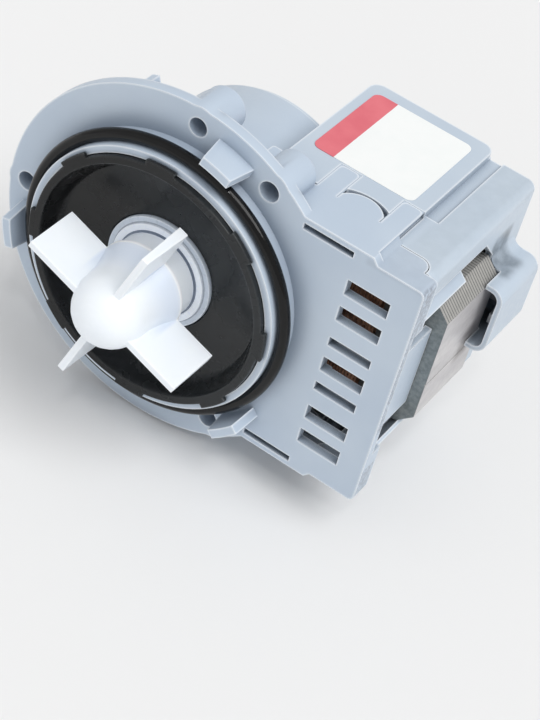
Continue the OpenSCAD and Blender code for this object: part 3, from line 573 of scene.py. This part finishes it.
def coil(name, side):
    """A coil of close turns over its packed inner layers."""
    mesh = bmesh.new()

    def vertex(x, y, z):
        return mesh.verts.new(Vector((x, COIL_Y + y, side * (COIL_Z + z))) * MM)

    outer = rounded_loop(PACK_Y, PACK_Z, PACK_R, 6)
    inner = rounded_loop(TUBE_Y, TUBE_Z, 0.9, 6)
    rings = []
    ends = ((COIL_LEFT, inner), (COIL_LEFT, outer), (COIL_RIGHT, outer), (COIL_RIGHT, inner))
    for x, loop in ends:
        inset = 0.05 if x == COIL_LEFT else -0.05
        rings.append([vertex(x + inset, y, z) for y, z, _ in loop])
    count = len(outer)
    for a, b in zip(rings, rings[1:] + rings[:1]):
        for k in range(count):
            mesh.faces.new((a[k], a[(k + 1) % count], b[(k + 1) % count], b[k]))

    pitch = (COIL_RIGHT - COIL_LEFT - 4 * WIRE) / TURNS
    loop = rounded_loop(PACK_Y + WIRE, PACK_Z + WIRE, PACK_R, 4)
    size = len(loop)
    tube = []
    lift = 0.0
    for i in range(TURNS * size + 1):
        y, z, out = loop[i % size]
        if i % size == 0:
            lift = rng.uniform(0.0, 0.1)
        x = COIL_LEFT + 2 * WIRE + pitch * i / size
        ring = []
        for k in range(WIRE_SIDES):
            angle = 2 * math.pi * k / WIRE_SIDES
            reach = lift + WIRE * math.cos(angle)
            side_x = x + WIRE * math.sin(angle)
            ring.append(vertex(side_x, y + out[0] * reach, z + out[1] * reach))
        tube.append(ring)
    for a, b in zip(tube, tube[1:]):
        for k in range(WIRE_SIDES):
            mesh.faces.new((a[k], a[(k + 1) % WIRE_SIDES], b[(k + 1) % WIRE_SIDES], b[k]))
    mesh.faces.new(tube[0])
    mesh.faces.new(tube[-1])
    return placed(name, mesh, LOOKS["copper"])


for node, side in (("upper_winding", 1), ("lower_winding", -1)):
    piece = coil(node.replace("_winding", "_coil"), side)
    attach(piece, "housing")
    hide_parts(node)


# Fillets of the mouldings and the ground side of the core

# Corner in x and z, radius and ends in y of each fillet, in millimetres
FILLETS = (
    ("shroud_fillet", (61.0, 16.2), 3.0, (40.7, 52.35), "cover_fillet"),
    ("panel_fillet", (48.2, 33.0), 1.5, (2.5, 11.4), "housing_fillet"),
)
for name, corner, radius, ends, look in FILLETS:
    fillet = strip(name, cove(corner, radius), *ends, LOOKS[look])


def plate(name, low, high, radius, axis, look):
    """A thin plate with rounded corners and eased edges, square to one axis."""
    a, b = [k for k in range(3) if k != axis]
    middle = [(p + q) / 2 for p, q in zip(low, high)]
    half = [(q - p) / 2 for p, q in zip(low, high)]
    ease = min(0.05, half[axis] / 2)
    deep = half[axis]
    ends = ((-deep, ease), (ease - deep, 0.0), (deep - ease, 0.0), (deep, ease))
    mesh = bmesh.new()
    rows = []
    for across, inset in ends:
        row = []
        for u, v, out in rounded_loop(half[a], half[b], radius, 4):
            point = list(middle)
            point[axis] += across
            point[a] += u - out[0] * inset
            point[b] += v - out[1] * inset
            row.append(mesh.verts.new(Vector(point) * MM))
        rows.append(row)
    count = len(rows[0])
    for p, q in zip(rows, rows[1:]):
        for k in range(count):
            mesh.faces.new((p[k], p[(k + 1) % count], q[(k + 1) % count], q[k]))
    mesh.faces.new(rows[0])
    mesh.faces.new(rows[-1])
    piece = placed(name, mesh, LOOKS[look], smooth=False)
    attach(piece, "housing")


GROUND_SIDES = (("upper_ground_side", -4.25, 14.95), ("lower_ground_side", -14.95, -4.55))
for name, low, high in GROUND_SIDES:
    plate(
        name,
        (CORE_X + 0.01, CORE_Y + 0.05, low),
        (CORE_X + 0.07, CORE_REAR - 0.05, high),
        0.4,
        0,
        "ground",
    )

# Webs that close the latch's and the panel's joints a little below the surface: near and far
# corner in x and y, and top, in millimetres
WEB_T, WEB_R = 0.4, 0.3
LATCH_WEBS = (
    ("left_arm_web", (25.8, 11.0), (31.55, 22.5), 34.5),
    ("right_arm_web", (42.75, 11.0), (48.15, 22.5), 34.5),
    ("right_joint_web", (47.9, 11.3), (48.7, 22.7), 32.85),
    ("panel_joint_web", (48.3, 11.2), (55.5, 11.8), 32.9),
    ("tongue_web", (31.0, 11.0), (43.3, 18.4), 33.1),
)
for name, near, far, top in LATCH_WEBS:
    for side, low, high in (("upper_", top - WEB_T, top), ("lower_", -top, WEB_T - top)):
        plate(side + name, (*near, low), (*far, high), WEB_R, 2, "cover_fillet")


# Floor, light and camera


def floor():
    half = 3.0
    data = bpy.data.meshes.new("floor")
    z = cad_box[0][2] - 0.5 * MM
    corners = [(-half, -half, z), (half, -half, z), (half, half, z), (-half, half, z)]
    data.from_pydata(corners, [], [(0, 1, 2, 3)])
    piece = bpy.data.objects.new("floor", data)
    bpy.context.scene.collection.objects.link(piece)
    look = Look("floor_pale", Roughness=0.9, Specular_IOR_Level=0.1)
    look.set(Base_Color=look.tones(look.noise(3, 2), rgb(238, 238, 238), rgb(240, 240, 240)))
    data.materials.append(look.material)


def sun(name, direction, strength, angle):
    data = bpy.data.lights.new(name, "SUN")
    data.energy = strength
    data.angle = math.radians(angle)
    lamp = bpy.data.objects.new(name, data)
    lamp.rotation_euler = Vector(direction).to_track_quat("Z", "Y").to_euler()
    bpy.context.scene.collection.objects.link(lamp)


def world(strength):
    made = bpy.data.worlds.new("studio")
    made.use_nodes = True
    made.node_tree.nodes["Background"].inputs[0].default_value = (1.0, 1.0, 1.0, 1.0)
    made.node_tree.nodes["Background"].inputs[1].default_value = strength
    bpy.context.scene.world = made


# Camera: directions towards it and to its right, place in millimetres, and lens
CAMERA_BACK, CAMERA_RIGHT = (0.283, -0.685, 0.671), (0.814, 0.542, 0.210)
CAMERA_AT = (166.37, -325.41, 310.94)
CAMERA_LENS = 103.085


def camera():
    back = Vector(CAMERA_BACK).normalized()
    right = Vector(CAMERA_RIGHT)
    right = (right - back * right.dot(back)).normalized()
    up = back.cross(right)
    data = bpy.data.cameras.new("camera")
    data.sensor_width = 36.0
    data.lens = CAMERA_LENS
    data.clip_start = 0.01
    made = bpy.data.objects.new("camera", data)
    turn = Matrix((right, up, back)).transposed().to_4x4()
    made.matrix_world = Matrix.Translation(Vector(CAMERA_AT) * MM) @ turn
    bpy.context.scene.collection.objects.link(made)
    bpy.context.scene.camera = made


# Lamps: direction towards the lamp, strength and angular size in degrees
LAMPS = (
    ("key", (0.62, -0.12, 1.0), 1.5, 40),
    ("fill", (-0.6, -1.0, 0.5), 0.2, 70),
    ("glint", (0.25, -0.55, 1.0), 0.2, 5),
)
floor()
world(0.55)
for name, direction, strength, angle in LAMPS:
    sun(name, direction, strength, angle)
camera()
bpy.context.scene.view_settings.view_transform = "Standard"
